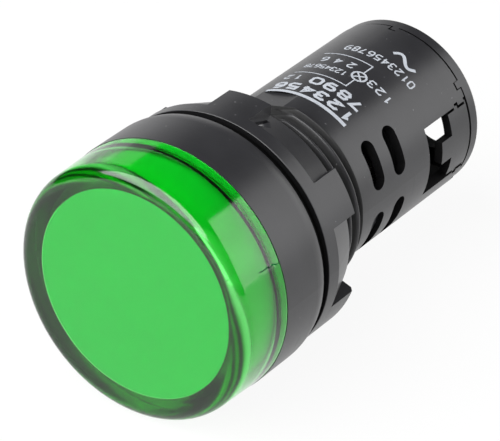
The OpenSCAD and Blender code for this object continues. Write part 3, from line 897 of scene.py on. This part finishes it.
# %%
def hairline():
    bm = bmesh.new()
    seam = BEZEL_FRONT - 0.12
    crack = [([(68.2, seam), (67.9, seam - 0.55), (67.2, seam - 0.75), (67.5, seam - 1.3),
               (66.9, seam - 1.8), (67.1, seam - 2.4), (66.6, seam - 3.1)], 0.1),
             ([(67.5, seam - 1.3), (68.0, seam - 1.7)], 0.05),
             ([(66.9, seam - 1.8), (66.1, seam - 2.0)], 0.05)]
    for layer, (line, width) in enumerate(crack):
        paint(bm, [(math.radians(a) * LENS_R, y) for a, y in line], width, layer, LENS_R)
    side_length = BEZEL_FRONT - LENS_FACE - CORNER_R
    for vertex in bm.verts:
        share = (BEZEL_FRONT - vertex.co.y / MM) / side_length
        lean = share * (DRAFT - CORNER_PROUD)
        vertex.co.x *= 1 - lean / LENS_R
        vertex.co.z *= 1 - lean / LENS_R
    return skin("lens_flaw", bm)


def flaw_green():
    g = Graph("flaw", Roughness=0.8, Specular_IOR_Level=0.0)
    g.colour(g.mix(g.noise(0.3), (0.0, 0.03, 0.01), (0.0, 0.1, 0.03)))
    return g.material


flaw = hairline()
flaw.data.materials.append(flaw_green())
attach(flaw, "light")

# %% [markdown]
# ## The floor
#
# The floor is plain and pale. To read as white it could be lit harder, but that would bleach the
# object too. Instead a **Light Path** node asks what kind of ray meets the floor. For a ray from
# the camera, or one that comes through the lens, most of the floor is a white emission, and the
# small rest keeps the object's shadow. Rays that a glossy surface mirrors see white only near the
# object, and a little way in front of it the white ends: there the lens's corner mirrors the dark
# of the studio.

# %%
WHITE_SHARE = 0.92
CARD_FRONT = (-68.0, -50.0)  # in millimetres along Y: dark in front, white behind
CARD_REACH = (0.7, 0.4)      # in metres from the object: dark beyond, white within


def studio_surface(name, tone):
    """A pale surface that is white to the eye, and keeps a trace of the object's shadow."""
    g = Graph(name, Roughness=0.9)
    g.colour((tone, tone, tone))
    camera, mirror, through = (g.node("ShaderNodeLightPath", output=f"Is {kind} Ray")
                               for kind in ("Camera", "Glossy", "Transmission"))
    distance = g.node("ShaderNodeVectorMath", {"operation": "LENGTH"}, {0: g.position}, "Value")
    card = g.along().step(*CARD_FRONT) * distance.step(*CARD_REACH)
    seen = (camera + (mirror * card + through)).least(1.0)
    white = g.node("ShaderNodeEmission", inputs={"Strength": 1.0})
    matte = Value(g, g.shader.outputs[0])
    mixed = g.node("ShaderNodeMixShader", inputs={0: seen * WHITE_SHARE, 1: matte, 2: white})
    g.feed(g.output.inputs["Surface"], mixed)
    return g.material


def floor():
    """One big face just under the bezel, on which the light lies."""
    bm = bmesh.new()
    bmesh.ops.create_grid(bm, x_segments=1, y_segments=1, size=3.0)
    bmesh.ops.translate(bm, verts=bm.verts, vec=(0, 0, -(BEZEL_R + 0.05) * MM))
    mesh = mesh_from("floor", bm)
    mesh.materials.append(studio_surface("pale_floor", 0.9))
    show("floor", mesh)


floor()

# %% [markdown]
# ## Camera
#
# The camera stands a third of a metre away, in front, to the right and above, and looks down at
# about 30 degrees. Its focal length is long, because from closer by the green cap would look too
# large for the tube behind it. A camera looks along its own -Z, and `to_track_quat` turns that
# axis along the line of sight.

# %%
CAMERA_PLACE, CAMERA_SIGHT = (0.17650, -0.24392, 0.17977), (-0.49553, 0.70467, -0.50783)
FOCAL_LENGTH, SENSOR_WIDTH = 244.43, 36.0


def camera():
    data = bpy.data.cameras.new("camera")
    data.sensor_width, data.lens = SENSOR_WIDTH, FOCAL_LENGTH
    data.clip_start, data.clip_end = 0.01, 20.0
    piece = bpy.data.objects.new("camera", data)
    piece.location = CAMERA_PLACE
    piece.rotation_euler = Vector(CAMERA_SIGHT).to_track_quat("-Z", "Y").to_euler()
    scene.collection.objects.link(piece)
    scene.camera = piece
    print(f"the camera looks down at {math.degrees(math.asin(-CAMERA_SIGHT[2])):.0f} degrees")


camera()

# %% [markdown]
# ## Light
#
# Black gloss shows its surroundings more than its own colour, so a lamp is placed by what should
# mirror it. Each is an area lamp that faces the light. Its place is given by its **turn** (0
# behind the light, 90 at +X) and its height, both in degrees. The large front lamp lights the
# lens's face, the right one is mirrored in the right side of the bezel and the tube, and two
# lamps at the left, one of them low, keep the other side from going black. The studio itself is
# almost dark.

# %%
def softbox(name, turn, height, distance, size, radiance):
    """An oval area lamp of a given radiance, so a larger one is no dimmer to look at."""
    turn, height = math.radians(turn), math.radians(height)
    data = bpy.data.lights.new(name, "AREA")
    data.shape, data.size, data.size_y = "ELLIPSE", size[0], size[1]
    data.energy = radiance * math.pi * size[0] * size[1]
    lamp = bpy.data.objects.new(name, data)
    lamp.location = Vector((math.sin(turn) * math.cos(height), math.cos(turn) * math.cos(height),
                            math.sin(height))) * distance
    lamp.rotation_euler = (-lamp.location).to_track_quat("-Z", "Y").to_euler()
    scene.collection.objects.link(lamp)
    print(f"{name}: {data.energy:.2f} W")


def dim_room(strength):
    scene.world = bpy.data.worlds.new("studio")
    scene.world.use_nodes = True
    background = scene.world.node_tree.nodes["Background"]
    background.inputs["Color"].default_value = (1, 1, 1, 1)
    background.inputs["Strength"].default_value = strength


dim_room(0.04)
softbox("right_light", 44, 17, 0.7, (0.88, 0.66), 1.8)
softbox("left_light", -42, 14, 0.7, (0.56, 0.38), 0.42)
softbox("low_left_light", -43, 6, 0.72, (0.6, 0.2), 0.3)
softbox("front_light", 195, 45, 0.7, (1.2, 0.7), 4.3)
scene.view_settings.view_transform = "Standard"
